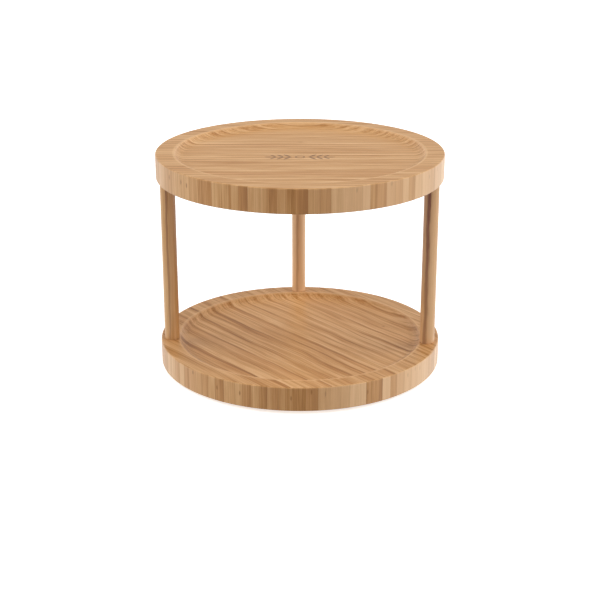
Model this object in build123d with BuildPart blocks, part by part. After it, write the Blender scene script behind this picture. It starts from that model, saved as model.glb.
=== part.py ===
from build123d import *
import os
from math import acos, degrees

# Two-tier bamboo lazy susan turntable.
#
# Two equal round trays stand one above the other on three posts. Under the lower tray, in a
# shallow pocket, a thin ball bearing joins it to a steel foot plate with rubber feet. Units are
# millimetres. +Z is up, the origin is on the axis of rotation at table height, and -Y is the front.

# Trays: a flat rim, a concave cove and a flat dish floor
TRAY_RADIUS = 121.0
TRAY_THICKNESS = 20.5
TRAY_EDGE_FILLET = 1.0
RIM_INNER_RADIUS = 105.0
RIM_ROUND_OVER = 0.6
COVE_WIDTH = 8.3
DISH_DEPTH = 4.5

# Heights of the tiers above the table
TABLE_GAP = 3.0
TIER_GAP = 143.5

# Posts, and what joins them to the trays
POST_DIAMETER = 12.7
POST_EDGE_CHAMFER = 0.3
POST_CIRCLE_RADIUS = 111.6
POST_ANGLES = {"left": 186.0, "right": -11.0, "back": 90.6}
PIN_DIAMETER = 6.0
PIN_HALF_LENGTH = 13.0
PIN_CHAMFER = 0.6
GLUE_GAP = 0.05

# All round, between a screw or a foot's stem and its hole
CLOSE_FIT = 0.05

# Wood screws: countersunk into the posts, pan head through the mount plate
SCREW_DIAMETER = 3.5
SCREW_HEAD_DIAMETER = 7.0
SCREW_TIP_LENGTH = 3.0
COUNTERSINK_TAPER = 45.0
POST_SCREW_LENGTH = 38.0
POST_SCREW_SINK = 0.3
MOUNT_SCREW_LENGTH = 10.8
MOUNT_SCREW_COUNT = 4
MOUNT_SCREW_CIRCLE_RADIUS = 64.5
MOUNT_SCREW_START_ANGLE = 45.0
PAN_HEAD_HEIGHT = 2.2
CROSS_SLOT_LENGTH = 3.6
CROSS_SLOT_WIDTH = 0.9
CROSS_SLOT_DEPTH = 1.2

# Ball bearing: a ring of balls between two plates pressed from one thickness of sheet
POCKET_RADIUS = 80.0
POCKET_DEPTH = 5.0
POCKET_EDGE_FILLET = 0.6
SHEET = 0.8
BALL_DIAMETER = 4.0
BALL_COUNT = 24
BALL_CIRCLE_RADIUS = 56.0
BALL_CENTRE_HEIGHT = 4.6
RACE_CLEARANCE = 0.15
CAGE_THICKNESS = 0.6
CAGE_WALL = 0.6
CAGE_HOLE_CLEARANCE = 0.1

# Lower plate: neck and curl inside, race, then the flange that carries the feet
FOOT_PLATE_RADIUS = 76.0
FOOT_PLATE_LIP = 1.6
PLATE_BEND = 0.8
WEB_OFFSET = 1.0
NECK_RADIUS = 45.6
CURL_RADIUS = 48.4
CURL_HEIGHT = 6.8
ACCESS_HOLE_DIAMETER = 8.5

# Upper plate: web inside the curl, race, then the flange that is screwed to the tray
MOUNT_PLATE_RADIUS = 72.0
MOUNT_WEB_INNER_RADIUS = 47.6
MOUNT_RISE = 3.0
RACE_OUTER_ANGLE = 45.0

# Rubber feet
FOOT_COUNT = 6
FOOT_CIRCLE_RADIUS = 70.0
FOOT_PAD_DIAMETER = 12.0
FOOT_PAD_HEIGHT = 2.2
FOOT_STEM_DIAMETER = 5.0
FOOT_BULB_DIAMETER = 6.4
FOOT_BULB_HEIGHT = 1.4
FOOT_EDGE_FILLET = 0.5

# Levels that follow from the dimensions above
LOWER_TRAY_Z = TABLE_GAP
POST_Z = LOWER_TRAY_Z + TRAY_THICKNESS
UPPER_TRAY_Z = POST_Z + TIER_GAP
POCKET_FLOOR_Z = LOWER_TRAY_Z + POCKET_DEPTH
POST_SCREW_Z = LOWER_TRAY_Z + POST_SCREW_SINK
MOUNT_SCREW_Z = POCKET_FLOOR_Z - SHEET - PAN_HEAD_HEIGHT
SCREW_HOLE_RADIUS = SCREW_DIAMETER / 2 + CLOSE_FIT
COUNTERSUNK_HEAD_HEIGHT = (SCREW_HEAD_DIAMETER - SCREW_DIAMETER) / 2
RACE_MID_RADIUS = BALL_DIAMETER / 2 + RACE_CLEARANCE + SHEET / 2
FOOT_FLANGE_MID_Z = FOOT_PAD_HEIGHT + SHEET / 2
MOUNT_FLANGE_MID_Z = POCKET_FLOOR_Z - SHEET / 2


def save(piece, name):
    """Names a finished piece and writes it as its own STEP file."""
    piece.part.label = name
    export_step(piece.part, f"parts/{name}.step")


def tray_blank(underside):
    """A round board with a dished top, its flat underside at the given height."""
    top = underside + TRAY_THICKNESS
    floor = top - DISH_DEPTH
    floor_radius = RIM_INNER_RADIUS - COVE_WIDTH
    with BuildPart() as blank:
        with BuildSketch(Plane.XZ) as section:
            with BuildLine():
                Polyline(
                    (floor_radius, floor),
                    (0, floor),
                    (0, underside),
                    (TRAY_RADIUS, underside),
                    (TRAY_RADIUS, top),
                    (RIM_INNER_RADIUS, top),
                )
                TangentArc((floor_radius, floor), (RIM_INNER_RADIUS, top), tangent=(1, 0))
            make_face()
            rim_inner_corner = section.vertices().group_by(Axis.Y)[-1].sort_by(Axis.X)[0]
            fillet(rim_inner_corner, RIM_ROUND_OVER)
            fillet(section.vertices().group_by(Axis.X)[-1], TRAY_EDGE_FILLET)
        revolve(axis=Axis.Z)
    return blank.part


def post_spot(angle):
    """The place of one post in plan, on the circle of the posts."""
    return PolarLocations(POST_CIRCLE_RADIUS, 1, start_angle=angle)


def mount_screw_spots():
    """The places of the mount screws in plan."""
    return PolarLocations(MOUNT_SCREW_CIRCLE_RADIUS, MOUNT_SCREW_COUNT, start_angle=MOUNT_SCREW_START_ANGLE)


def foot_spots():
    """The places of the rubber feet in plan."""
    return PolarLocations(FOOT_CIRCLE_RADIUS, FOOT_COUNT)


def ball_spots():
    """The places of the bearing's balls in plan."""
    return PolarLocations(BALL_CIRCLE_RADIUS, BALL_COUNT)


def sheet_ring(mid_line):
    """A ring pressed from sheet metal, from the line through the middle of its section."""
    with BuildPart() as ring:
        with BuildSketch(Plane.XZ):
            with BuildLine():
                offset(mid_line, amount=SHEET / 2, side=Side.BOTH)
            make_face()
        revolve(axis=Axis.Z)
    return ring.part


def race_point(angle, side):
    """A point of a race's middle line, turned outwards from its top (side 1) or bottom (side -1)."""
    swing = Vector(0, side * RACE_MID_RADIUS).rotate(Axis.Z, -side * angle)
    return Vector(BALL_CIRCLE_RADIUS, BALL_CENTRE_HEIGHT) + swing


def race_angle(drop):
    """How far a race turns from its top or bottom before it is that near the balls' level."""
    return degrees(acos(drop / RACE_MID_RADIUS))


def wood_screw(length, head_height, head_side):
    """A wood screw that points up from height 0, with a cross slot in its head."""
    shank = SCREW_DIAMETER / 2
    with BuildPart() as screw:
        with BuildSketch(Plane.XZ):
            with BuildLine():
                add(head_side)
                Polyline(
                    head_side @ 1,
                    (shank, head_height),
                    (shank, length - SCREW_TIP_LENGTH),
                    (0, length),
                    (0, 0),
                    head_side @ 0,
                )
            make_face()
        revolve(axis=Axis.Z)
        with BuildSketch():
            Rectangle(CROSS_SLOT_LENGTH, CROSS_SLOT_WIDTH)
            Rectangle(CROSS_SLOT_WIDTH, CROSS_SLOT_LENGTH)
        extrude(amount=CROSS_SLOT_DEPTH, mode=Mode.SUBTRACT)
    return screw.part


os.makedirs("parts", exist_ok=True)

# Upper tray, with a blind hole in its underside for the pin of each post
with BuildPart() as upper_tray:
    add(tray_blank(UPPER_TRAY_Z))
    for angle in POST_ANGLES.values():
        with BuildSketch(Plane.XY.offset(UPPER_TRAY_Z)):
            with post_spot(angle):
                Circle(PIN_DIAMETER / 2 + GLUE_GAP)
        extrude(amount=PIN_HALF_LENGTH + GLUE_GAP, mode=Mode.SUBTRACT)
save(upper_tray, "upper_tray")

# Lower tray, with the pocket of the bearing and the countersunk holes of the post screws
with BuildPart() as lower_tray:
    add(tray_blank(LOWER_TRAY_Z))
    with BuildSketch(Plane.XY.offset(LOWER_TRAY_Z)):
        Circle(POCKET_RADIUS)
    extrude(amount=POCKET_DEPTH, mode=Mode.SUBTRACT)
    underside_circles = lower_tray.edges().filter_by(GeomType.CIRCLE).group_by(Axis.Z)[0]
    fillet(underside_circles.sort_by(SortBy.RADIUS)[0], POCKET_EDGE_FILLET)
    with BuildSketch(Plane.XY.offset(POCKET_FLOOR_Z)):
        with mount_screw_spots():
            Circle(SCREW_HOLE_RADIUS)
    extrude(amount=MOUNT_SCREW_Z + MOUNT_SCREW_LENGTH + CLOSE_FIT - POCKET_FLOOR_Z, mode=Mode.SUBTRACT)
    for angle in POST_ANGLES.values():
        with BuildSketch(Plane.XY.offset(LOWER_TRAY_Z)):
            with post_spot(angle):
                Circle(SCREW_HOLE_RADIUS)
        extrude(amount=TRAY_THICKNESS, mode=Mode.SUBTRACT)
        with BuildSketch(Plane.XY.offset(LOWER_TRAY_Z)):
            with post_spot(angle):
                Circle(SCREW_HOLE_RADIUS + COUNTERSUNK_HEAD_HEIGHT + POST_SCREW_SINK)
        extrude(
            amount=COUNTERSUNK_HEAD_HEIGHT + POST_SCREW_SINK,
            taper=COUNTERSINK_TAPER,
            mode=Mode.SUBTRACT,
        )
save(lower_tray, "lower_tray")

# Posts, each with a pin hole in its upper end and a pilot hole in its lower end
for side, angle in POST_ANGLES.items():
    with BuildPart() as post:
        with BuildSketch(Plane.XY.offset(POST_Z)):
            with post_spot(angle):
                Circle(POST_DIAMETER / 2)
        extrude(amount=TIER_GAP)
        chamfer(post.edges().filter_by(GeomType.CIRCLE), POST_EDGE_CHAMFER)
        with BuildSketch(Plane.XY.offset(UPPER_TRAY_Z)):
            with post_spot(angle):
                Circle(PIN_DIAMETER / 2 + GLUE_GAP)
        extrude(amount=-PIN_HALF_LENGTH - GLUE_GAP, mode=Mode.SUBTRACT)
        with BuildSketch(Plane.XY.offset(POST_Z)):
            with post_spot(angle):
                Circle(SCREW_HOLE_RADIUS)
        extrude(amount=POST_SCREW_Z + POST_SCREW_LENGTH + CLOSE_FIT - POST_Z, mode=Mode.SUBTRACT)
    save(post, f"post_{side}")

# Pins between the posts and the upper tray
for side, angle in POST_ANGLES.items():
    with BuildPart() as dowel_pin:
        with BuildSketch(Plane.XY.offset(UPPER_TRAY_Z - PIN_HALF_LENGTH)):
            with post_spot(angle):
                Circle(PIN_DIAMETER / 2)
        extrude(amount=2 * PIN_HALF_LENGTH)
        chamfer(dowel_pin.edges().filter_by(GeomType.CIRCLE), PIN_CHAMFER)
    save(dowel_pin, f"dowel_pin_{side}")

# Countersunk screws, up through the lower tray into the posts
countersunk_side = Line((SCREW_HEAD_DIAMETER / 2, 0), (SCREW_DIAMETER / 2, COUNTERSUNK_HEAD_HEIGHT))
countersunk_screw = wood_screw(POST_SCREW_LENGTH, COUNTERSUNK_HEAD_HEIGHT, countersunk_side)
with BuildPart(Plane.XY.offset(POST_SCREW_Z)) as post_screws:
    for angle in POST_ANGLES.values():
        with post_spot(angle):
            add(countersunk_screw)
save(post_screws, "post_screws")

# Pan-head screws, up through the mount plate into the floor of the pocket
pan_head_side = Spline(
    (SCREW_HEAD_DIAMETER / 4, 0),
    (SCREW_HEAD_DIAMETER / 2, PAN_HEAD_HEIGHT),
    tangents=((1, 0), (0, 1)),
)
pan_head_screw = wood_screw(MOUNT_SCREW_LENGTH, PAN_HEAD_HEIGHT, pan_head_side)
with BuildPart(Plane.XY.offset(MOUNT_SCREW_Z)) as mount_screws:
    with mount_screw_spots():
        add(pan_head_screw)
save(mount_screws, "mount_screws")

# Foot plate: a neck with an outward curl that holds the mount plate down, the lower race, and
# a low flange with a turned-up lip, pierced for the feet and for reaching the mount screws
web_edge = race_point(-race_angle(WEB_OFFSET), -1)
flange_edge = race_point(race_angle(BALL_CENTRE_HEIGHT - FOOT_FLANGE_MID_Z), -1)
with BuildLine() as foot_plate_line:
    FilletPolyline(
        (CURL_RADIUS, CURL_HEIGHT),
        (NECK_RADIUS, CURL_HEIGHT),
        (NECK_RADIUS, web_edge.Y),
        web_edge,
        radius=PLATE_BEND,
    )
    ThreePointArc(web_edge, race_point(0, -1), flange_edge)
    FilletPolyline(
        flange_edge,
        (FOOT_PLATE_RADIUS, flange_edge.Y),
        (FOOT_PLATE_RADIUS, flange_edge.Y + FOOT_PLATE_LIP),
        radius=PLATE_BEND,
    )
with BuildPart() as foot_plate:
    add(sheet_ring(foot_plate_line.wire()))
    with BuildSketch(Plane.XY.offset(FOOT_PAD_HEIGHT)):
        with foot_spots():
            Circle(FOOT_STEM_DIAMETER / 2 + CLOSE_FIT)
        with PolarLocations(MOUNT_SCREW_CIRCLE_RADIUS, 1, start_angle=MOUNT_SCREW_START_ANGLE):
            Circle(ACCESS_HOLE_DIAMETER / 2)
    extrude(amount=SHEET, mode=Mode.SUBTRACT)
save(foot_plate, "foot_plate")

# Mount plate: an inner web under the curl, the upper race, and a high flange against the tray
web_edge = race_point(-race_angle(WEB_OFFSET), 1)
race_end = race_point(RACE_OUTER_ANGLE, 1)
with BuildLine() as mount_plate_line:
    Line((MOUNT_WEB_INNER_RADIUS, web_edge.Y), web_edge)
    ThreePointArc(web_edge, race_point(0, 1), race_end)
    Polyline(
        race_end,
        (race_end.X + MOUNT_RISE, MOUNT_FLANGE_MID_Z),
        (MOUNT_PLATE_RADIUS, MOUNT_FLANGE_MID_Z),
    )
with BuildPart() as mount_plate:
    add(sheet_ring(mount_plate_line.wire()))
    with BuildSketch(Plane.XY.offset(POCKET_FLOOR_Z)):
        with mount_screw_spots():
            Circle(SCREW_HOLE_RADIUS)
    extrude(amount=-SHEET, mode=Mode.SUBTRACT)
save(mount_plate, "mount_plate")

# Ball cage: a flat ring with a hole for each ball
with BuildPart() as ball_cage:
    with BuildSketch(Plane.XY.offset(BALL_CENTRE_HEIGHT - CAGE_THICKNESS / 2)):
        Circle(BALL_CIRCLE_RADIUS + BALL_DIAMETER / 2 + CAGE_WALL)
        Circle(BALL_CIRCLE_RADIUS - BALL_DIAMETER / 2 - CAGE_WALL, mode=Mode.SUBTRACT)
        with ball_spots():
            Circle(BALL_DIAMETER / 2 + CAGE_HOLE_CLEARANCE, mode=Mode.SUBTRACT)
    extrude(amount=CAGE_THICKNESS)
save(ball_cage, "ball_cage")

# Balls
with BuildPart(Plane.XY.offset(BALL_CENTRE_HEIGHT)) as bearing_balls:
    with ball_spots():
        Sphere(BALL_DIAMETER / 2)
save(bearing_balls, "bearing_balls")

# Rubber feet: a pad on the table, a stem through the foot plate and a bulb that holds it there
bulb_base = FOOT_PAD_HEIGHT + SHEET
with BuildPart() as rubber_foot:
    with BuildSketch(Plane.XZ):
        with BuildLine():
            Polyline(
                (0, bulb_base + FOOT_BULB_HEIGHT),
                (0, 0),
                (FOOT_PAD_DIAMETER / 2, 0),
                (FOOT_PAD_DIAMETER / 2, FOOT_PAD_HEIGHT),
                (FOOT_STEM_DIAMETER / 2, FOOT_PAD_HEIGHT),
                (FOOT_STEM_DIAMETER / 2, bulb_base),
                (FOOT_BULB_DIAMETER / 2, bulb_base),
            )
            Spline(
                (FOOT_BULB_DIAMETER / 2, bulb_base),
                (0, bulb_base + FOOT_BULB_HEIGHT),
                tangents=((0, 1), (-1, 0)),
            )
        make_face()
    revolve(axis=Axis.Z)
    foot_circles = rubber_foot.edges().filter_by(GeomType.CIRCLE)
    fillet(foot_circles.group_by(SortBy.RADIUS)[-1], FOOT_EDGE_FILLET)
for number in range(FOOT_COUNT):
    with BuildPart() as foot:
        with PolarLocations(FOOT_CIRCLE_RADIUS, 1, start_angle=number * 360 / FOOT_COUNT):
            add(rubber_foot.part)
    save(foot, f"foot_{number + 1}")
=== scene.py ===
import math

import bmesh
import bpy
from bpy.props import FloatProperty, FloatVectorProperty, IntProperty, PointerProperty
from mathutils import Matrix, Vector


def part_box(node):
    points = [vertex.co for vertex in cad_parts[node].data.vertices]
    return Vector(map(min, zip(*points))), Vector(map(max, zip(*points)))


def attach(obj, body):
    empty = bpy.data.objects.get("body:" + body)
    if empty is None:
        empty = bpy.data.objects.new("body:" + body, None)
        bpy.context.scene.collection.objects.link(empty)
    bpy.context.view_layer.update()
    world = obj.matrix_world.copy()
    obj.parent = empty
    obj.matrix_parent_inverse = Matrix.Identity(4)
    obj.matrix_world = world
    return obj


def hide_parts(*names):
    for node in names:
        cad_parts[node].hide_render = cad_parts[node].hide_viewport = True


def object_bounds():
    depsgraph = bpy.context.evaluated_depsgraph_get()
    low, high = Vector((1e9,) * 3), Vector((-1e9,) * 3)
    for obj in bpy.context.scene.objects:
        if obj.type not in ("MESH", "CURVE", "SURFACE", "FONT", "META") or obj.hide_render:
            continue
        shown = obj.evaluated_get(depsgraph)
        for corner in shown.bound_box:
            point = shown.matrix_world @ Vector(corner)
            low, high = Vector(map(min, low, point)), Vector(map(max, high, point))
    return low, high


bl_info = {
    "name": "Two-Tier Bamboo Turntable",
    "version": (1, 0, 0),
    "blender": (4, 5, 0),
    "location": "3D View > Sidebar > Turntable",
    "description": "Finishes a two-tier bamboo lazy susan around its CAD model",
    "category": "Object",
}

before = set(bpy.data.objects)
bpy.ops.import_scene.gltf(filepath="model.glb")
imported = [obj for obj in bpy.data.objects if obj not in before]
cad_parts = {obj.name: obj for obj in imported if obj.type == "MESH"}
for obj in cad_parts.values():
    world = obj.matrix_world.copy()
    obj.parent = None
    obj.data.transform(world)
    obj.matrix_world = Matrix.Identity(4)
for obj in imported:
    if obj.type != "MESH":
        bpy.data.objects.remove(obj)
CAD_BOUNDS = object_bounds()

MM = 0.001
WHITE = (1.0, 1.0, 1.0, 1.0)
FOOT_NODES = sorted(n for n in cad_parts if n.startswith("foot_") and n != "foot_plate")
POST_NODES = sorted(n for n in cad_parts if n.startswith("post_") and n != "post_screws")
PIN_NODES = sorted(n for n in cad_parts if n.startswith("dowel_pin_"))

# Bamboo: the mean tone of a face between brown, 0, and pale, 1, and how strongly each effect
# of its strip pattern shows
UPPER_LOOK = {
    "level": 0.62, "spread": 0.14, "cast": 0.25, "slope": 0.26, "streaks": 2.2, "fibres": 1.5, "seams": 0.34,
}
LOWER_LOOK = {
    "level": 0.58, "spread": 0.14, "cast": 0.25, "slope": 0.42, "streaks": 2.2, "fibres": 1.2, "seams": 0.30,
}
STAVE_LOOK = {"spread": 0.48, "cast": 0.38, "slope": 0.24, "streaks": 1.6, "fibres": 0.75, "seams": 0.30}
POST_LOOK = {"spread": 0.40, "cast": 0.35, "slope": 0.22, "streaks": 1.2, "fibres": 0.7, "seams": 0.15}
KNUCKLE_DARKNESS = 0.70

# Staves: their mean tone in front, and the painted side light that lifts their tone towards both
# sides, leaving the front in painted shade: how much, and where that begins and ends. Each FROM
# and TO is in radii of the tray, round its side from the front, and positive towards +X.
STAVE_LEVEL = 0.47
STAVE_SIDE_LIGHT = 0.20
SIDE_LIGHT_FROM, SIDE_LIGHT_TO = 0.22, 1.10

# A painted sheen of the right-hand light over the staves on the right: where it begins and is
# full, how far it goes in the palest staves, and what share of that the darkest ones take before and after
# the stretch that evens them out
SHEEN_FROM, SHEEN_TO = -0.15, 0.60
SHEEN_SHARE = 0.62
EVEN_FROM, EVEN_TO = 0.45, 1.10
UNEVEN_SHARE, EVEN_SHARE = 0.08, 0.65

# How far below the top the staves' knuckles lie on average, in millimetres
STAVE_KNUCKLE_DROP = 6.0

# Painted highlights along the rounded outer and inner edges: how pale they are and how far they reach, in
# millimetres
OUTER_HIGHLIGHT, OUTER_REACH = 0.12, 1.6
INNER_HIGHLIGHT, INNER_REACH = 0.60, 2.2

# Each post, in the order of POST_NODES: its mean tone and how much painted sheen lies over it, and its
# dark grain streak, darkened towards the head as painted shade under the upper tray: where that faces,
# in degrees from the front towards +X, its half width in millimetres, and its strength at the foot and at the
# head.
POSTS = (
    {"tone": 1.00, "sheen": 0.68, "turn": -12, "half_width": 1.6, "foot": 0.30, "head": 0.38},
    {"tone": 0.60, "sheen": 0.00, "turn": -9, "half_width": 1.3, "foot": 0.35, "head": 0.60},
    {"tone": 0.92, "sheen": 0.36, "turn": -25, "half_width": 2.4, "foot": 0.55, "head": 0.95},
)
FIRST_POST_SEED = 10.0

# What a foot's own box doesn't give of its shape
FOOT_PAD_HEIGHT = 2.2 * MM
FOOT_PLATE_SHEET = 0.8 * MM
FOOT_GROOVE = 0.35 * MM
FOOT_SEGMENTS = 64
FOOT_CORNER_STEPS = 5

# Half the floor's width, in radii of the turntable
FLOOR_REACH = 60


# ---------------------------------------------------------------- settings


def colour(name, description, default):
    """A colour that the user can change, as linear red, green and blue."""
    return FloatVectorProperty(
        name=name,
        description=description,
        subtype="COLOR",
        size=3,
        min=0.0,
        max=1.0,
        default=default,
    )


def length(name, description, default):
    """A length in metres that the user can change."""
    return FloatProperty(
        name=name, description=description, unit="LENGTH", min=0.0, default=default, precision=5
    )


def share(name, description, default):
    """A strength between 0 and 1 that the user can change."""
    return FloatProperty(
        name=name, description=description, subtype="FACTOR", min=0.0, max=1.0, default=default
    )


def angle(name, description, default):
    """An angle in radians that the user can change."""
    return FloatProperty(
        name=name, description=description, subtype="ANGLE", unit="ROTATION", default=default
    )


def brightness(name, description, default):
    """How bright a light makes a white surface that faces it."""
    return FloatProperty(name=name, description=description, min=0.0, default=default)


class BambooSettings(bpy.types.PropertyGroup):
    """Colours and strip sizes of the bamboo."""

    # Pale is also the colour of the painted highlights along the trays' rounded edges
    pale: colour("Pale", "The lightest strips and the wood round their pores", (0.755, 0.466, 0.228))
    honey: colour("Honey", "The usual colour of the strips", (0.620, 0.342, 0.138))
    tan: colour("Tan", "The darker strips", (0.455, 0.208, 0.058))
    brown: colour("Brown", "Streaks, seams and knuckles", (0.270, 0.101, 0.018))
    # This colour also paints shade: the streak darkens towards the head of each post as the shade under the
    # upper tray
    streak_and_shade: colour("Heart", "The dark streak up a post", (0.16, 0.028, 0.003))
    rosy: colour("Rosy", "The cast of the redder strips", (0.53, 0.248, 0.086))
    # Painted sheen: this pale colour paints the right-hand light's sheen over the staves on the right, and a
    # sheen over the posts
    painted_sheen: colour("Bleached", "Staves that the sun has faded", (0.82, 0.54, 0.310))
    roughness: share("Roughness", "Roughness of the satin lacquer", 0.42)
    upper_strip: length("Upper strips", "Usual width of a strip in the upper tray", 0.0065)
    lower_strip: length("Lower strips", "Usual width of a strip in the lower tray", 0.0090)
    stave: length("Staves", "Usual width of a stave round the side of a tray", 0.0080)
    post_strip: length("Post strips", "Usual width of a streak round a post", 0.0042)
    lower_turn: angle("Lower grain", "Direction of the lower tray's grain, from +X", math.radians(-50.5))


class MarkSettings(bpy.types.PropertyGroup):
    """The burned ornament in the middle of the upper dish."""

    burn: colour("Burn", "Colour of the burned lines", (0.14, 0.050, 0.016))
    half_width: length("Half width", "From the middle of the ornament to the tip of a sprig", 0.028)
    shift: length("Shift", "How far the ornament lies in front of the dish's middle", 0.0055)
    strength: share("Strength", "How dark the ornament is", 0.80)


class HardwareSettings(bpy.types.PropertyGroup):
    """Colours of the bearing, screws and feet."""

    zinc: colour("Zinc", "Zinc-plated sheet and screws", (0.62, 0.63, 0.64))
    steel: colour("Steel", "Polished balls", (0.72, 0.72, 0.73))
    nylon: colour("Nylon", "Ball cage", (0.78, 0.76, 0.70))
    rubber: colour("Rubber", "Feet", (0.028, 0.028, 0.030))
    rings: IntProperty(name="Rings", description="Raised rings on the sole of a foot", min=1, default=3)


class StageSettings(bpy.types.PropertyGroup):
    """Camera, floor and lights."""

    distance: length("Distance", "From the camera to the axis of rotation, in plan", 1.1234)
    height: length("Height", "The camera's height above the table", 0.46454)
    pitch: angle("Pitch", "How far the camera looks down", math.radians(20.081))
    lens: FloatProperty(
        name="Lens", description="Focal length on a 36 mm sensor", unit="CAMERA", default=82.407
    )
    floor: colour("Floor", "The plain pale floor", (0.93, 0.93, 0.93))
    glow: share("Floor glow", "Light of the floor's own, which keeps the shadows on it faint", 0.60)
    ambient: share("Ambient", "Brightness of the surround that lights the object evenly", 0.41)
    mirrored: brightness("Mirrored", "Brightness of the surround as gloss mirrors it", 0.48)
    right_panel: brightness("Right panel", "How much brighter gloss mirrors the right side", 1.1)
    left_panel: brightness("Left panel", "How much brighter gloss mirrors the left side", 0.9)
    right: brightness("Right light", "The stronger light, from the right", 0.57)
    left: brightness("Left light", "The weaker light, from the left", 0.47)
    front: brightness("Front light", "The weak light that opens the shadows in front", 0.13)
    swing: angle("Swing", "How far round from the front the two lights stand", math.radians(88))
    rise: angle("Rise", "How high the two lights stand above the floor", math.radians(35))
    spread: angle("Spread", "How large, and so how soft, each light is", math.radians(50))


# ---------------------------------------------------------------- node wiring


class Wiring:
    """Adds nodes to one node tree and wires them, so that a pattern reads as a formula."""

    def __init__(self, tree):
        self.tree = tree

    def feed(self, socket, value):
        """Gives an input socket a link from an output socket, or a plain value."""
        if isinstance(value, bpy.types.NodeSocket):
            self.tree.links.new(value, socket)
        else:
            socket.default_value = value

    def add(self, kind, inputs=(), **settings):
        """A new node with its settings, and its inputs given by name or number."""
        node = self.tree.nodes.new(kind)
        for name, value in settings.items():
            setattr(node, name, value)
        for name, value in dict(inputs).items():
            self.feed(node.inputs[name], value)
        return node

    def math(self, operation, *values, clamp=False):
        node = self.add("ShaderNodeMath", enumerate(values), operation=operation, use_clamp=clamp)
        return node.outputs[0]

    def plus(self, a, b):
        return self.math("ADD", a, b)

    def minus(self, a, b):
        return self.math("SUBTRACT", a, b)

    def times(self, a, b):
        return self.math("MULTIPLY", a, b)

    def either(self, a, b):
        return self.math("MAXIMUM", a, b)

    def hypot(self, a, b):
        return self.math("SQRT", self.plus(self.times(a, a), self.times(b, b)))

    def point(self, x, y, z=0.0):
        return self.add("ShaderNodeCombineXYZ", {0: x, 1: y, 2: z}).outputs[0]

    def split(self, vector):
        return self.add("ShaderNodeSeparateXYZ", {0: vector}).outputs

    def step(self, value, start, end, low=0.0, high=1.0):
        """A smooth step from low to high while value goes from start to end."""
        inputs = {"Value": value, "From Min": start, "From Max": end, "To Min": low, "To Max": high}
        return self.add("ShaderNodeMapRange", inputs, interpolation_type="SMOOTHSTEP").outputs[0]

    def noise(self, vector, scale=1.0, detail=3.0, roughness=0.55):
        """Cloudy noise between 0 and 1."""
        inputs = {"Vector": vector, "Scale": scale, "Detail": detail, "Roughness": roughness}
        return self.add("ShaderNodeTexNoise", inputs, noise_dimensions="3D").outputs[0]

    def blend(self, share_of_b, a, b):
        """Colour a turning into colour b."""
        node = self.add("ShaderNodeMix", data_type="RGBA")
        for name, value in (("Factor_Float", share_of_b), ("A_Color", a), ("B_Color", b)):
            self.feed(next(s for s in node.inputs if s.identifier == name), value)
        return next(s for s in node.outputs if s.identifier == "Result_Color")

    def ramp(self, value, colours):
        """The colours in order, evenly spread over values from 0 to 1."""
        node = self.add("ShaderNodeValToRGB", {0: value})
        stops = node.color_ramp.elements
        while len(stops) < len(colours):
            stops.new(0.5)
        for number, rgb in enumerate(colours):
            stops[number].position = number / (len(colours) - 1)
            stops[number].color = (*rgb, 1.0)
        return node.outputs[0]


def node_group(name, inputs, outputs):
    """A new shader node group; returns its wiring, its inputs and its results, both by name."""
    tree = bpy.data.node_groups.new(name, "ShaderNodeTree")
    for label, default in inputs.items():
        socket = tree.interface.new_socket(name=label, in_out="INPUT", socket_type="NodeSocketFloat")
        socket.default_value = default
    for label in outputs:
        tree.interface.new_socket(name=label, in_out="OUTPUT", socket_type="NodeSocketFloat")
    wire = Wiring(tree)
    given = wire.add("NodeGroupInput").outputs
    return wire, given, wire.add("NodeGroupOutput").inputs


def shared_group(name, build):
    """The node group of that name, built the first time that a material asks for it."""
    return bpy.data.node_groups.get(name) or build(name)


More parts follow.
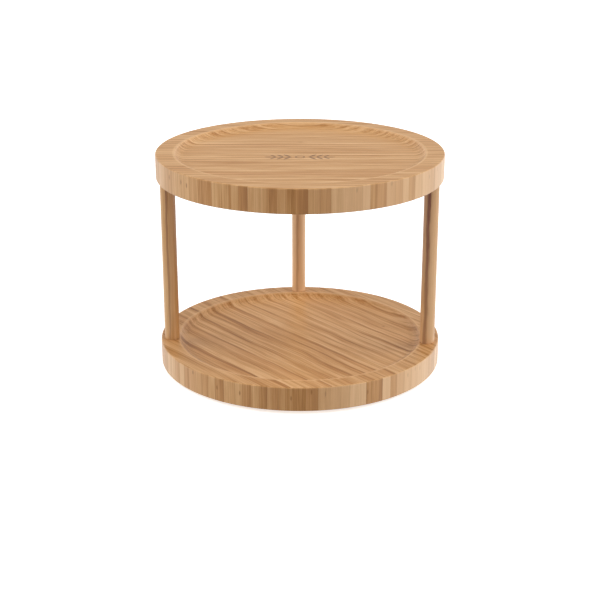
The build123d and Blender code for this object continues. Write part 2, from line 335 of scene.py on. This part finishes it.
def strips_group(name):
    """Bamboo strips side by side: their tones, shading, streaks, seams, knuckles and fibres."""
    inputs = {
        "Along": 0.0,
        "Across": 0.0,
        "Depth": 0.0,
        "Width": 8.0,
        "Seed": 0.0,
        "Wave": 0.5,
        "Knuckles": 0.1,
        "Knuckle Range": 200.0,
        "Line": 0.4,
    }
    outputs = ("Tone", "Cast", "Shade", "Streaks", "Seam", "Knuckle", "Fibre")
    wire, given, result = node_group(name, inputs, outputs)
    # All noise below is drawn out along the fibres: places are in millimetres, times a rate
    # that is many times lower along than across.
    seed_shift = wire.times(given["Seed"], 37.0)
    slow = wire.point(wire.times(given["Along"], 0.012), wire.times(given["Across"], 0.03), seed_shift)
    sway = wire.times(wire.minus(wire.noise(slow, detail=2.5), 0.5), given["Wave"])
    across = wire.plus(given["Across"], sway)

    cell = wire.plus(wire.math("DIVIDE", across, given["Width"]), seed_shift)
    cells = {"W": cell, "Scale": 1.0, "Randomness": 0.85}
    strip = wire.add("ShaderNodeTexVoronoi", cells, voronoi_dimensions="1D")
    border = wire.add("ShaderNodeTexVoronoi", cells, voronoi_dimensions="1D", feature="DISTANCE_TO_EDGE")
    chance = wire.split(strip.outputs["Color"])
    to_seam = wire.times(border.outputs["Distance"], given["Width"])
    seam = wire.step(to_seam, wire.times(given["Line"], 0.15), given["Line"], 1.0, 0.0)
    from_low_side = wire.math("ADD", wire.minus(cell, strip.outputs["W"]), 0.5, clamp=True)
    shade = wire.times(wire.math("POWER", from_low_side, 3.0), wire.plus(chance[1], 0.35))

    own_start = wire.times(chance[0], 91.0)
    broad_place = wire.point(wire.times(across, 0.35), wire.times(given["Along"], 0.010), own_start)
    broad = wire.noise(broad_place, detail=2.0)
    fine_depth = wire.plus(wire.times(given["Depth"], 0.9), seed_shift)
    fine_place = wire.point(wire.times(across, 1.15), wire.times(given["Along"], 0.018), fine_depth)
    fine = wire.noise(fine_place, detail=4.0, roughness=0.62)
    hair_place = wire.point(wire.times(across, 3.2), wire.times(given["Along"], 0.05), fine_depth)
    hair = wire.noise(hair_place, detail=2.0, roughness=0.6)

    sideways = wire.times(strip.outputs["Distance"], given["Width"])
    knuckle_place = wire.times(wire.minus(chance[1], 0.5), given["Knuckle Range"])
    endways = wire.math("DIVIDE", wire.minus(given["Along"], knuckle_place), 2.6)
    reach = wire.hypot(sideways, endways)
    chosen = wire.math("LESS_THAN", chance[2], given["Knuckles"])
    ragged = wire.plus(reach, wire.times(wire.minus(fine, 0.5), 2.4))
    knuckle = wire.times(wire.step(ragged, 0.35, 1.1, 1.0, 0.0), chosen)

    wire.feed(result["Tone"], chance[0])
    wire.feed(result["Cast"], wire.step(chance[1], 0.35, 0.95))
    wire.feed(result["Shade"], shade)
    wire.feed(result["Streaks"], wire.plus(wire.times(broad, 0.6), wire.times(fine, 0.4)))
    wire.feed(result["Seam"], wire.times(seam, wire.step(fine, 0.25, 0.60, 0.35, 1.0)))
    wire.feed(result["Knuckle"], knuckle)
    wire.feed(result["Fibre"], wire.plus(wire.times(hair, 0.6), wire.times(fine, 0.4)))
    return wire.tree


def edge_group(name):
    """How near a point is to a rounded edge, given both in radius and height."""
    inputs = {"Radius": 0.0, "Height": 0.0, "Edge Radius": 0.0, "Edge Height": 0.0, "Reach": 1.0}
    wire, given, result = node_group(name, inputs, ("Mask",))
    outwards = wire.minus(given["Radius"], given["Edge Radius"])
    upwards = wire.minus(given["Height"], given["Edge Height"])
    away = wire.hypot(outwards, upwards)
    wire.feed(result["Mask"], wire.step(away, wire.times(given["Reach"], 0.3), given["Reach"], 1.0, 0.0))
    return wire.tree


def brushed_group(name):
    """Drawn and plated metal: fine rings round the axis, cloudy plating and small scratches."""
    wire, given, result = node_group(name, {"X": 0.0, "Y": 0.0, "Z": 0.0}, ("Rings", "Clouds", "Scratches"))
    radius = wire.hypot(given["X"], given["Y"])
    rings = wire.noise(wire.point(wire.times(radius, 5.0), 0.0, wire.times(given["Z"], 2.0)), detail=4.0)
    place = wire.point(given["X"], given["Y"], given["Z"])
    clouds = wire.noise(place, scale=0.09, detail=4.0)
    slanted = wire.plus(given["X"], wire.times(given["Y"], 0.35))
    drawn_out = wire.point(slanted, wire.times(given["Y"], 0.03), given["Z"])
    scratches = wire.step(wire.noise(drawn_out, scale=3.0, detail=2.0), 0.66, 0.74)
    wire.feed(result["Rings"], rings)
    wire.feed(result["Clouds"], clouds)
    wire.feed(result["Scratches"], scratches)
    return wire.tree


def burned_sprigs_group(name):
    """Two mirrored leafy sprigs either side of a ring, in millimetres from the ornament's middle."""
    wire, given, result = node_group(name, {"X": 0.0, "Y": 0.0, "Half Width": 28.0}, ("Mask",))
    across = wire.math("ABSOLUTE", given["X"])
    span = wire.math("DIVIDE", across, given["Half Width"])
    off_stem = wire.math("ABSOLUTE", given["Y"])
    on_span = wire.times(wire.step(span, 0.22, 0.25), wire.step(span, 0.86, 0.92, 1.0, 0.0))
    mask = wire.times(wire.step(off_stem, 0.25, 0.60, 1.0, 0.0), on_span)
    pairs, first_root, root_pitch, lean = 3, 0.27, 0.22, math.radians(54)
    for number in range(pairs):
        root = first_root + root_pitch * number
        root_x = wire.minus(across, wire.times(given["Half Width"], root))
        leaf_length = 10.5 - number
        for turn in (lean, -lean):
            along = wire.plus(wire.times(root_x, math.cos(turn)), wire.times(given["Y"], math.sin(turn)))
            beside = wire.minus(wire.times(given["Y"], math.cos(turn)), wire.times(root_x, math.sin(turn)))
            mask = wire.either(mask, leaf_mask(wire, along, beside, leaf_length))
    tip_root, tip_length = 0.78, 8.0
    tip_x = wire.minus(across, wire.times(given["Half Width"], tip_root))
    mask = wire.either(mask, leaf_mask(wire, tip_x, given["Y"], tip_length))
    ring_radius = 3.6
    off_ring = wire.math("ABSOLUTE", wire.minus(wire.hypot(across, given["Y"]), ring_radius))
    wire.feed(result["Mask"], wire.either(mask, wire.step(off_ring, 0.35, 0.75, 1.0, 0.0)))
    return wire.tree


def leaf_mask(wire, along, beside, leaf_length):
    """A slim pointed leaf from the root of its own axes, in millimetres."""
    part = wire.minus(wire.math("DIVIDE", along, leaf_length / 2), 1.0)
    slimness = 0.11
    half_breadth = wire.times(wire.minus(1.0, wire.times(part, part)), leaf_length * slimness)
    return wire.step(wire.minus(wire.math("ABSOLUTE", beside), half_breadth), -0.15, 0.20, 1.0, 0.0)


def streak_and_head_shade_group(name):
    """A dark grain streak that runs up a round rod, wavering, stronger at one end than at the other; with the
    stronger end at the head it also paints the shade under the upper tray.
    """
    inputs = {
        "Around": 0.0,
        "Height": 0.0,
        "Rise": 0.0,
        "Half Width": 1.5,
        "Foot": 0.5,
        "Head": 0.8,
        "Seed": 0.0,
    }
    wire, given, result = node_group(name, inputs, ("Mask",))
    slow = wire.noise(wire.point(0.0, given["Seed"], wire.times(given["Height"], 0.022)), detail=2.0)
    fine_around, fine_up = wire.times(given["Around"], 1.1), wire.times(given["Height"], 0.05)
    fine = wire.noise(wire.point(fine_around, given["Seed"], fine_up), detail=3.0)
    off = wire.plus(given["Around"], wire.times(wire.minus(slow, 0.5), 3.0))
    reach = wire.math("DIVIDE", wire.math("ABSOLUTE", off), given["Half Width"])
    core = wire.step(wire.plus(reach, wire.times(wire.minus(fine, 0.5), 1.4)), 0.15, 1.15, 1.0, 0.0)
    strength = wire.plus(
        wire.times(given["Foot"], wire.minus(1.0, given["Rise"])),
        wire.times(given["Head"], given["Rise"]),
    )
    wire.feed(result["Mask"], wire.times(core, strength))
    return wire.tree


# ---------------------------------------------------------------- materials


def new_material(name):
    """A material with an empty tree; returns it, its wiring and its Principled shader."""
    material = bpy.data.materials.new(name)
    material.use_nodes = True
    material.node_tree.nodes.clear()
    wire = Wiring(material.node_tree)
    shader = wire.add("ShaderNodeBsdfPrincipled")
    output = wire.add("ShaderNodeOutputMaterial")
    wire.feed(output.inputs["Surface"], shader.outputs[0])
    return material, wire, shader


def place_in_mm(wire):
    """The point's place in the object's frame, in millimetres: x, y, z."""
    place = wire.add("ShaderNodeTexCoord").outputs["Object"]
    scaled = wire.add("ShaderNodeVectorMath", {0: place, "Scale": 1 / MM}, operation="SCALE").outputs[0]
    return wire.split(scaled)


def use_group(wire, name, build, **inputs):
    """Places a shared group with its own values; an input's name has _ for each space."""
    node = wire.add("ShaderNodeGroup", node_tree=shared_group(name, build))
    for label, value in inputs.items():
        wire.feed(node.inputs[label.replace("_", " ").title()], value)
    return node.outputs


def strips(wire, **inputs):
    """One use of the bamboo strips."""
    return use_group(wire, "Bamboo Strips", strips_group, **inputs)


def bamboo_colour(wire, settings, pattern, level, spread, cast, slope, streaks, fibres, seams):
    """The colour of a strip pattern, from its mean tone and how strongly each effect shows."""
    tone = wire.plus(level, wire.times(wire.minus(pattern["Tone"], 0.5), spread))
    tone = wire.plus(tone, wire.times(wire.minus(0.22, pattern["Shade"]), slope))
    tone = wire.plus(tone, wire.times(wire.minus(pattern["Streaks"], 0.5), streaks))
    tone = wire.math("ADD", tone, wire.times(wire.minus(pattern["Fibre"], 0.5), fibres), clamp=True)
    base = wire.ramp(tone, (settings.brown, settings.tan, settings.honey, settings.pale))
    base = wire.blend(wire.times(pattern["Cast"], cast), base, (*settings.rosy, 1.0))
    seamed = wire.blend(wire.times(pattern["Seam"], seams), base, (*settings.brown, 1.0))
    return wire.blend(wire.times(pattern["Knuckle"], KNUCKLE_DARKNESS), seamed, (*settings.brown, 1.0))


def bump(wire, height, strength, distance_mm):
    """A normal bent by a height pattern."""
    inputs = {"Strength": strength, "Distance": distance_mm * MM, "Height": height}
    return wire.add("ShaderNodeBump", inputs).outputs[0]


def lacquer(wire, shader, settings, fibre):
    """The satin lacquer over bamboo: uneven gloss and a trace of the fibres."""
    wire.feed(shader.inputs["Roughness"], wire.plus(settings.roughness - 0.06, wire.times(fibre, 0.14)))
    wire.feed(shader.inputs["Normal"], bump(wire, fibre, 0.25, 0.06))
    shader.inputs["Specular IOR Level"].default_value = 0.5
    shader.inputs["Coat Weight"].default_value = 0.10
    shader.inputs["Coat Roughness"].default_value = 0.28


def dish_edge_mm(node):
    """Radius at which a tray's flat rim ends and its dish begins."""
    spots = [vertex.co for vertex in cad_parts[node].data.vertices]
    top = max(spot.z for spot in spots)
    on_rim = [math.hypot(spot.x, spot.y) for spot in spots if top - spot.z < 0.01 * MM]
    return min(on_rim) / MM


def stave_pattern(wire, settings, round_mm, above_top_mm, seed):
    """The upright staves round a tray's side, with a knuckle here and there near the top."""
    return strips(
        wire, along=wire.plus(above_top_mm, STAVE_KNUCKLE_DROP), across=round_mm, width=settings.stave / MM,
        seed=seed, wave=0.0, knuckles=0.22, knuckle_range=8.0, line=0.35,
    )


def stave_colour(wire, settings, staves, round_mm, radius_mm):
    """Staves lifted towards both sides by painted side light, the front left in painted shade, with a painted
    sheen of the right-hand light over those on the right.
    """
    # Painted side light: tone lifted towards both sides, the front left in painted shade
    side_lit = wire.step(wire.math("ABSOLUTE", round_mm), radius_mm * SIDE_LIGHT_FROM, radius_mm * SIDE_LIGHT_TO)
    level = wire.plus(STAVE_LEVEL, wire.times(side_lit, STAVE_SIDE_LIGHT))
    base = bamboo_colour(wire, settings, staves, level=level, **STAVE_LOOK)
    # Painted sheen of the right-hand light over the staves on the right
    right_sheen = wire.step(round_mm, radius_mm * SHEEN_FROM, radius_mm * SHEEN_TO, 0.0, SHEEN_SHARE)
    even_from, even_to = radius_mm * EVEN_FROM, radius_mm * EVEN_TO
    least_share = wire.step(round_mm, even_from, even_to, UNEVEN_SHARE, EVEN_SHARE)
    own_share = wire.step(staves["Tone"], 0.1, 0.8, least_share, 1.0)
    return wire.blend(wire.times(right_sheen, own_share), base, (*settings.painted_sheen, 1.0))


def painted_edge_highlight(wire, radius, height, edge_radius, edge_height, reach, strength):
    """How strong the painted highlight is near a tray's rounded edge."""
    mask = use_group(
        wire, "Rounded Edge", edge_group,
        radius=radius, height=height, edge_radius=edge_radius, edge_height=edge_height, reach=reach,
    )["Mask"]
    return wire.times(mask, strength)


def burned_share(wire, mark, x, y, z, mid_mm):
    """How much of the ornament's burn shows: on the dish's floor, not on the underside."""
    marked = use_group(
        wire, "Burned Sprigs", burned_sprigs_group,
        x=x, y=wire.plus(y, mark.shift / MM), half_width=mark.half_width / MM,
    )["Mask"]
    return wire.times(wire.times(marked, wire.math("GREATER_THAN", z, mid_mm)), mark.strength)


def tray_material(name, node, settings, turn, strip, seed, wave, look, mark=None):
    """Bamboo of one tray: strips over its faces, upright staves round its side."""
    low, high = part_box(node)
    radius_mm = (high.x - low.x) / 2 / MM
    top_mm = high.z / MM
    material, wire, shader = new_material(name)
    x, y, z = place_in_mm(wire)
    radius = wire.hypot(x, y)
    round_mm = wire.times(wire.math("ARCTAN2", x, wire.times(y, -1.0)), radius_mm)

    face = strips(
        wire,
        along=wire.plus(wire.times(x, math.cos(turn)), wire.times(y, math.sin(turn))),
        across=wire.minus(wire.times(y, math.cos(turn)), wire.times(x, math.sin(turn))),
        depth=z, width=strip / MM, seed=seed, wave=wave, knuckles=0.03, line=0.9,
    )
    staves = stave_pattern(wire, settings, round_mm, wire.minus(z, top_mm), seed + 5.0)
    on_side = wire.step(radius, radius_mm - 0.5, radius_mm - 0.2)
    colour_here = wire.blend(
        on_side,
        bamboo_colour(wire, settings, face, **look),
        stave_colour(wire, settings, staves, round_mm, radius_mm),
    )
    # Painted highlights along the outer top edge and the inner rim edge
    painted_edge_highlights = wire.plus(
        painted_edge_highlight(wire, radius, z, radius_mm, top_mm, OUTER_REACH, OUTER_HIGHLIGHT),
        painted_edge_highlight(wire, radius, z, dish_edge_mm(node), top_mm, INNER_REACH, INNER_HIGHLIGHT),
    )
    colour_here = wire.blend(painted_edge_highlights, colour_here, (*settings.pale, 1.0))
    if mark:
        burned = burned_share(wire, mark, x, y, z, (low.z + high.z) / 2 / MM)
        colour_here = wire.blend(burned, colour_here, (*mark.burn, 1.0))
    wire.feed(shader.inputs["Base Color"], colour_here)
    fibre = wire.plus(
        wire.times(face["Fibre"], wire.minus(1.0, on_side)),
        wire.times(staves["Fibre"], on_side),
    )
    lacquer(wire, shader, settings, fibre)
    return material


def turned_material(name, node, settings, seed, post):
    """Bamboo of a round upright rod: strips and one dark grain streak run up it, with a painted sheen over it
    and painted shade darkening the streak towards the head.
    """
    low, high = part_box(node)
    middle = (low + high) / 2 / MM
    radius_mm = (high.x - low.x) / 2 / MM
    material, wire, shader = new_material(name)
    x, y, z = place_in_mm(wire)
    angle = wire.math("ARCTAN2", wire.minus(x, middle.x), wire.minus(middle.y, y))
    rod = strips(
        wire, along=z, across=wire.times(angle, radius_mm), width=settings.post_strip / MM,
        seed=seed, wave=1.2, knuckles=0.04, line=0.25,
    )
    rod_colour = bamboo_colour(wire, settings, rod, level=post["tone"], **POST_LOOK)
    # Painted sheen over the post
    rod_colour = wire.blend(post["sheen"], rod_colour, (*settings.painted_sheen, 1.0))
    # Dark grain streak, darkened towards the head as painted shade under the upper tray
    dark = use_group(
        wire, "Heart Streak", streak_and_head_shade_group, seed=seed, height=z,
        around=wire.times(wire.minus(angle, math.radians(post["turn"])), radius_mm),
        rise=wire.step(z, low.z / MM, high.z / MM),
        half_width=post["half_width"], foot=post["foot"], head=post["head"],
    )["Mask"]
    wire.feed(shader.inputs["Base Color"], wire.blend(dark, rod_colour, (*settings.streak_and_shade, 1.0)))
    lacquer(wire, shader, settings, rod["Fibre"])
    return material


def metal_material(name, tint, roughness, ring_depth_mm):
    """Plated metal with faint rings, cloudy plating and hair scratches."""
    material, wire, shader = new_material(name)
    x, y, z = place_in_mm(wire)
    brushed = use_group(wire, "Brushed Metal", brushed_group, x=x, y=y, z=z)
    darker = tuple(part * 0.72 for part in tint)
    cloudy = wire.ramp(wire.step(brushed["Clouds"], 0.3, 0.7), (darker, tint))
    scratched = wire.blend(wire.times(brushed["Scratches"], 0.25), cloudy, (0.9, 0.9, 0.9, 1.0))
    wire.feed(shader.inputs["Base Color"], scratched)
    uneven = wire.plus(wire.times(brushed["Clouds"], 0.16), wire.times(brushed["Rings"], 0.10))
    wire.feed(shader.inputs["Roughness"], wire.plus(roughness - 0.12, uneven))
    wire.feed(shader.inputs["Normal"], bump(wire, brushed["Rings"], 0.3, ring_depth_mm))
    shader.inputs["Metallic"].default_value = 1.0
    return material


def moulded_material(name, tint, roughness, grain_mm):
    """Moulded rubber or plastic: a fine matt grain and a little dust."""
    material, wire, shader = new_material(name)
    place = wire.point(*place_in_mm(wire))
    grain = wire.noise(place, scale=1 / grain_mm, detail=3.0)
    dust = wire.step(wire.noise(place, scale=0.35, detail=5.0), 0.45, 0.75)
    dusty = tuple(value + (0.5 - value) * 0.12 for value in tint)
    wire.feed(shader.inputs["Base Color"], wire.blend(dust, (*tint, 1.0), (*dusty, 1.0)))
    wire.feed(shader.inputs["Roughness"], wire.plus(roughness, wire.times(dust, 0.10)))
    wire.feed(shader.inputs["Normal"], bump(wire, grain, 0.35, 0.05))
    return material


def finish_node(node, material):
    """Gives a CAD node its material in every slot."""
    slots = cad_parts[node].data.materials
    slots.clear()
    slots.append(material)


# ---------------------------------------------------------------- meshes


def lathe(name, outline, segments, centre):
    """A closed solid turned about an upright axis through centre, from its (radius, height) outline."""
    shape = bmesh.new()
    rings = []
    for radius, height in outline:
        if radius == 0.0:
            rings.append([shape.verts.new((centre.x, centre.y, height))])
            continue
        turns = [2 * math.pi * number / segments for number in range(segments)]
        ring = [(centre.x + radius * math.cos(a), centre.y + radius * math.sin(a), height) for a in turns]
        rings.append([shape.verts.new(spot) for spot in ring])
    for below, above in zip(rings, rings[1:]):
        for number in range(segments):
            after = (number + 1) % segments
            quad = [below[number % len(below)], below[after % len(below)]]
            quad += [above[after % len(above)], above[number % len(above)]]
            corners = list(dict.fromkeys(quad))
            shape.faces.new(corners)
    bmesh.ops.recalc_face_normals(shape, faces=shape.faces)
    mesh = bpy.data.meshes.new(name)
    shape.to_mesh(mesh)
    shape.free()
    for face in mesh.polygons:
        face.use_smooth = True
    piece = bpy.data.objects.new(name, mesh)
    bpy.context.scene.collection.objects.link(piece)
    return piece


def quarter_turns():
    """Angles from 0 to a right angle, for the steps of a rounded corner."""
    return [math.pi / 2 * number / FOOT_CORNER_STEPS for number in range(FOOT_CORNER_STEPS + 1)]


def foot_outline(low, high, rings):
    """Half section of a rubber foot from the middle of its sole up to the top of its bulb."""
    radius = (high.x - low.x) / 2
    stem, bulb, rounding = radius * 0.41, radius * 0.53, radius * 0.09
    pad_top = low.z + FOOT_PAD_HEIGHT
    plate_top = pad_top + FOOT_PLATE_SHEET
    groove_top = low.z + FOOT_GROOVE

    sole = [(0.0, groove_top)]
    ringed_share, first_ring = 0.86, 0.62
    pitch = radius * ringed_share / rings
    half_base, half_crest = pitch * 0.30, pitch * 0.18
    for number in range(rings):
        middle = pitch * (number + first_ring)
        sole += [
            (middle - half_base, groove_top),
            (middle - half_crest, low.z),
            (middle + half_crest, low.z),
            (middle + half_base, groove_top),
        ]
    sole.append((radius - 2 * rounding, low.z))

    corner_x, corner_z = radius - rounding, low.z + rounding
    corner = [(corner_x + rounding * math.sin(a), corner_z - rounding * math.cos(a)) for a in quarter_turns()]
    shoulder = [
        (radius, pad_top - rounding),
        (radius - rounding * 0.4, pad_top),
        (stem, pad_top),
        (stem, plate_top),
        (bulb, plate_top),
    ]
    dome_height = high.z - plate_top
    dome = [(bulb * math.cos(a), plate_top + dome_height * math.sin(a)) for a in quarter_turns()[1:-1]]
    return sole + corner + shoulder + dome + [(0.0, high.z)]


# ---------------------------------------------------------------- operators


class TURNTABLE_OT_camera(bpy.types.Operator):
    """Sets the camera in front of the turntable, looking a little down"""

    bl_idname = "turntable.camera"
    bl_label = "Camera"

    def execute(self, context):
        stage = context.scene.turntable_stage
        data = bpy.data.cameras.new("camera")
        data.lens = stage.lens
        camera = bpy.data.objects.new("camera", data)
        camera.location = (0.0, -stage.distance, stage.height)
        camera.rotation_euler = (math.pi / 2 - stage.pitch, 0.0, 0.0)
        context.scene.collection.objects.link(camera)
        context.scene.camera = camera
        return {"FINISHED"}


class TURNTABLE_OT_stage(bpy.types.Operator):
    """Adds the plain floor, the even surrounding light and the three broad lights"""

    bl_idname = "turntable.stage"
    bl_label = "Stage"

    def execute(self, context):
        stage = context.scene.turntable_stage
        self.add_floor(stage)
        self.add_world(context, stage)
        self.add_light("right_light", stage.swing, stage, stage.right)
        self.add_light("left_light", -stage.swing, stage, stage.left)
        self.add_light("front_light", 0.0, stage, stage.front)
        context.scene.view_settings.view_transform = "Standard"
        return {"FINISHED"}

    def add_floor(self, stage):
        """A wide plain floor under the feet that doesn't hide the object from below."""
        reach = CAD_BOUNDS[1].x * FLOOR_REACH
        shape = bmesh.new()
        bmesh.ops.create_grid(shape, x_segments=1, y_segments=1, size=reach)
        mesh = bpy.data.meshes.new("floor")
        shape.to_mesh(mesh)
        shape.free()
        floor = bpy.data.objects.new("floor", mesh)
        floor.location.z = CAD_BOUNDS[0].z
        floor.visible_shadow = False
        floor.visible_diffuse = False
        floor.visible_glossy = False
        bpy.context.scene.collection.objects.link(floor)
        material, wire, shader = new_material("floor")
        shader.inputs["Base Color"].default_value = (*stage.floor, 1.0)
        shader.inputs["Roughness"].default_value = 0.9
        shader.inputs["Specular IOR Level"].default_value = 0.1
        shader.inputs["Emission Color"].default_value = WHITE
        shader.inputs["Emission Strength"].default_value = stage.glow
        seen_from_below = wire.add("ShaderNodeNewGeometry").outputs["Backfacing"]
        clear = wire.add("ShaderNodeBsdfTransparent").outputs[0]
        either = wire.add("ShaderNodeMixShader", {0: seen_from_below, 1: shader.outputs[0], 2: clear})
        output = next(n for n in material.node_tree.nodes if n.type == "OUTPUT_MATERIAL")
        wire.feed(output.inputs["Surface"], either.outputs[0])
        mesh.materials.append(material)

    def add_world(self, context, stage):
        """A white surround that lights the object evenly, and that gloss mirrors with a panel each side."""
        world = bpy.data.worlds.new("surround")
        world.use_nodes = True
        world.node_tree.nodes.clear()
        wire = Wiring(world.node_tree)
        rays = wire.add("ShaderNodeLightPath").outputs
        rightwards, _, upwards = wire.split(wire.add("ShaderNodeTexCoord").outputs["Generated"])
        panels = wire.plus(
            wire.step(rightwards, 0.02, 0.45, 0.0, stage.right_panel),
            wire.step(rightwards, -0.45, -0.02, stage.left_panel, 0.0),
        )
        panels = wire.times(panels, wire.step(upwards, -0.10, 0.35, 1.0, 0.25))
        mirrored = wire.plus(stage.mirrored, panels)
        strength = wire.plus(stage.ambient, wire.plus(
            wire.times(rays["Is Camera Ray"], 1.0 - stage.ambient),
            wire.times(rays["Is Glossy Ray"], wire.minus(mirrored, stage.ambient)),
        ))
        surround = wire.add("ShaderNodeBackground", {"Color": WHITE, "Strength": strength})
        output = wire.add("ShaderNodeOutputWorld")
        wire.feed(output.inputs["Surface"], surround.outputs[0])
        context.scene.world = world

    def add_light(self, name, swing, stage, brightness_of_white):
        """A broad far light, swung round from the front and raised above the floor."""
        data = bpy.data.lights.new(name, "SUN")
        data.energy = math.pi * brightness_of_white
        data.angle = stage.spread
        light = bpy.data.objects.new(name, data)
        light.rotation_euler = (math.pi / 2 - stage.rise, 0.0, swing)
        light.visible_glossy = False
        bpy.context.scene.collection.objects.link(light)


class TURNTABLE_OT_upper_tray(bpy.types.Operator):
    """Finishes the upper tray: straight fine strips and the burned ornament"""

    bl_idname = "turntable.upper_tray"
    bl_label = "Upper Tray"

    def execute(self, context):
        bamboo = context.scene.turntable_bamboo
        mark = context.scene.turntable_mark
        material = tray_material(
            "upper_bamboo", "upper_tray", bamboo, turn=0.0, strip=bamboo.upper_strip,
            seed=1.0, wave=4.0, look=UPPER_LOOK, mark=mark,
        )
        finish_node("upper_tray", material)
        return {"FINISHED"}


class TURNTABLE_OT_lower_tray(bpy.types.Operator):
    """Finishes the lower tray: broader wavy strips at an angle"""

    bl_idname = "turntable.lower_tray"
    bl_label = "Lower Tray"

    def execute(self, context):
        bamboo = context.scene.turntable_bamboo
        material = tray_material(
            "lower_bamboo", "lower_tray", bamboo, turn=bamboo.lower_turn, strip=bamboo.lower_strip,
            seed=2.0, wave=7.0, look=LOWER_LOOK,
        )
        finish_node("lower_tray", material)
        return {"FINISHED"}


class TURNTABLE_OT_posts(bpy.types.Operator):
    """Finishes the three posts and the blind pins above them"""

    bl_idname = "turntable.posts"
    bl_label = "Posts"

    def execute(self, context):
        bamboo = context.scene.turntable_bamboo
        for number, (post_node, pin_node, post) in enumerate(zip(POST_NODES, PIN_NODES, POSTS)):
            for node in (post_node, pin_node):
                seed = FIRST_POST_SEED + number
                finish_node(node, turned_material(f"{node}_bamboo", node, bamboo, seed, post))
        return {"FINISHED"}


class TURNTABLE_OT_bearing(bpy.types.Operator):
    """Finishes the two bearing plates, the ball cage and the balls"""

    bl_idname = "turntable.bearing"
    bl_label = "Bearing"

    def execute(self, context):
        hardware = context.scene.turntable_hardware
        sheet = metal_material("zinc_sheet", tuple(hardware.zinc), 0.36, 0.02)
        finish_node("foot_plate", sheet)
        finish_node("mount_plate", sheet)
        finish_node("bearing_balls", metal_material("polished_steel", tuple(hardware.steel), 0.20, 0.002))
        finish_node("ball_cage", moulded_material("cage_nylon", tuple(hardware.nylon), 0.5, 0.4))
        return {"FINISHED"}


class TURNTABLE_OT_screws(bpy.types.Operator):
    """Finishes the post screws and the mount screws"""

    bl_idname = "turntable.screws"
    bl_label = "Screws"

    def execute(self, context):
        hardware = context.scene.turntable_hardware
        plated = metal_material("zinc_screw", tuple(hardware.zinc), 0.30, 0.01)
        finish_node("post_screws", plated)
        finish_node("mount_screws", plated)
        return {"FINISHED"}


class TURNTABLE_OT_feet(bpy.types.Operator):
    """Makes the rubber feet with their ringed soles"""

    bl_idname = "turntable.feet"
    bl_label = "Feet"

    def execute(self, context):
        hardware = context.scene.turntable_hardware
        rubber = moulded_material("foot_rubber", tuple(hardware.rubber), 0.62, 0.25)
        for node in FOOT_NODES:
            low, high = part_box(node)
            outline = foot_outline(low, high, hardware.rings)
            foot = lathe(f"rubber_{node}", outline, FOOT_SEGMENTS, (low + high) / 2)
            foot.data.materials.append(rubber)
            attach(foot, "base")
            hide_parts(node)
        return {"FINISHED"}


class TURNTABLE_PT_sidebar(bpy.types.Panel):
    """Lists the steps and their settings"""

    bl_idname = "TURNTABLE_PT_sidebar"
    bl_label = "Bamboo Turntable"
    bl_space_type = "VIEW_3D"
    bl_region_type = "UI"
    bl_category = "Turntable"

    def draw(self, context):
        for step in STEPS:
            self.layout.operator(step.bl_idname)
        for name in SETTINGS:
            box = self.layout.box()
            for key in getattr(context.scene, name).bl_rna.properties.keys():
                if key not in {"rna_type", "name"}:
                    box.prop(getattr(context.scene, name), key)


STEPS = (
    TURNTABLE_OT_camera,
    TURNTABLE_OT_stage,
    TURNTABLE_OT_upper_tray,
    TURNTABLE_OT_lower_tray,
    TURNTABLE_OT_posts,
    TURNTABLE_OT_bearing,
    TURNTABLE_OT_screws,
    TURNTABLE_OT_feet,
)
SETTINGS = {
    "turntable_bamboo": BambooSettings,
    "turntable_mark": MarkSettings,
    "turntable_hardware": HardwareSettings,
    "turntable_stage": StageSettings,
}


def register():
    for name, settings in SETTINGS.items():
        bpy.utils.register_class(settings)
        setattr(bpy.types.Scene, name, PointerProperty(type=settings))
    for step in (*STEPS, TURNTABLE_PT_sidebar):
        bpy.utils.register_class(step)


def unregister():
    for step in reversed((*STEPS, TURNTABLE_PT_sidebar)):
        bpy.utils.unregister_class(step)
    for name, settings in reversed(SETTINGS.items()):
        delattr(bpy.types.Scene, name)
        bpy.utils.unregister_class(settings)


def main():
    register()
    for step in STEPS:
        group, name = step.bl_idname.split(".")
        getattr(getattr(bpy.ops, group), name)()


if __name__ == "__main__":
    main()
